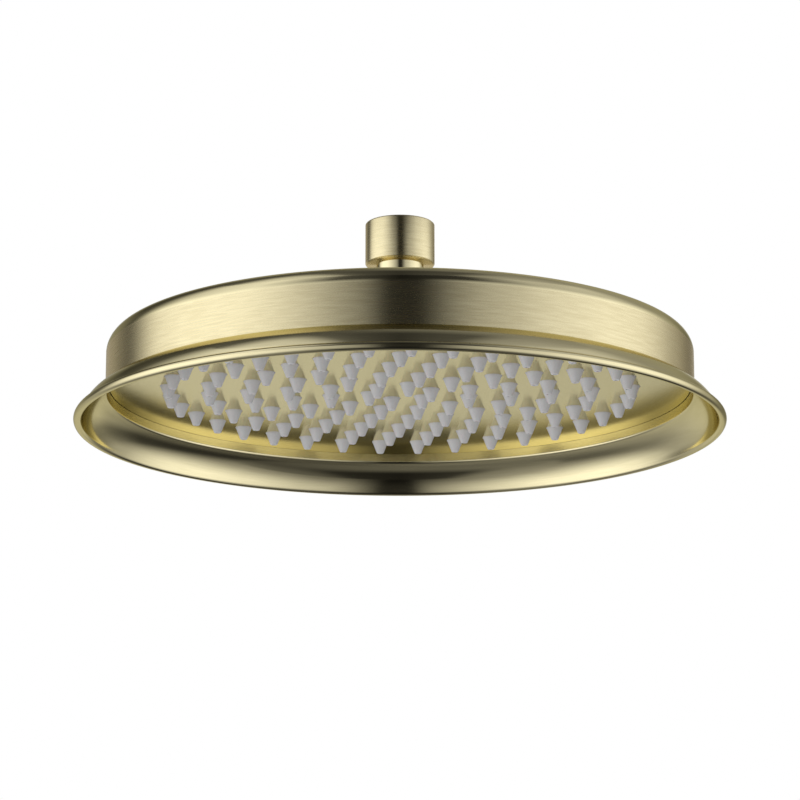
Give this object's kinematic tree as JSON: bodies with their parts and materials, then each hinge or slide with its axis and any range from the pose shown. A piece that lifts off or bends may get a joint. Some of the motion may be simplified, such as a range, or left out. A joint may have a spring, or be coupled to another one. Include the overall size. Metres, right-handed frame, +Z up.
{
  "type": "shower head",
  "caption": "Round overhead shower head in brushed brass: a drum with a flared, rolled lip and a recessed face of rubber nozzles, on a ball joint with a half-inch inlet.",
  "frame": {"origin": "centre of the inlet thread's mouth, on the collar's top face", "axes": "+Z up the supply pipe along the axis of the head, spray along -Z, tilt axis along +X"},
  "size_m": [0.23, 0.23, 0.0759],
  "materials": {
    "brushed_brass": "brushed round the axis, clear lacquer",
    "satin_brass": "satin",
    "plain_brass": "as turned",
    "silicone": "matte moulded silicone",
    "black_rubber": "moulded",
    "stainless": "plain",
    "white_plastic": "moulded acetal",
    "fibre": "pressed fibre",
    "grey_plastic": "moulded ABS"
  },
  "bodies": {
    "stud": {"ball_stud": "brushed_brass", "inlet_washer": "black_rubber", "filter_screen": "stainless", "flow_regulator": "white_plastic", "regulator_o_ring": "black_rubber"},
    "ball_seat": {"slip_ring": "white_plastic"},
    "head": {"ball_nut": "brushed_brass", "nut_liner": "white_plastic", "socket": "plain_brass", "ball_seal": "black_rubber", "shell_washer": "fibre", "body_shell": "brushed_brass", "inlet_insert": "plain_brass", "shank_o_ring": "black_rubber", "chamber_cover": "grey_plastic", "diffuser": "grey_plastic", "nozzle_mat": "silicone", "face_plate": "satin_brass", "stud_washers": "stainless", "stud_nuts": "stainless"}
  },
  "joints": [
    {"name": "swivel", "type": "hinge", "parent": "stud", "child": "ball_seat", "pos_m": [0, 0, -0.0294], "axis": [0, 0, 1], "continuous": true},
    {"name": "tilt", "type": "hinge", "parent": "ball_seat", "child": "head", "pos_m": [0, 0, -0.0294], "axis": [1, 0, 0], "range_deg": [-15, 15]}
  ]
}
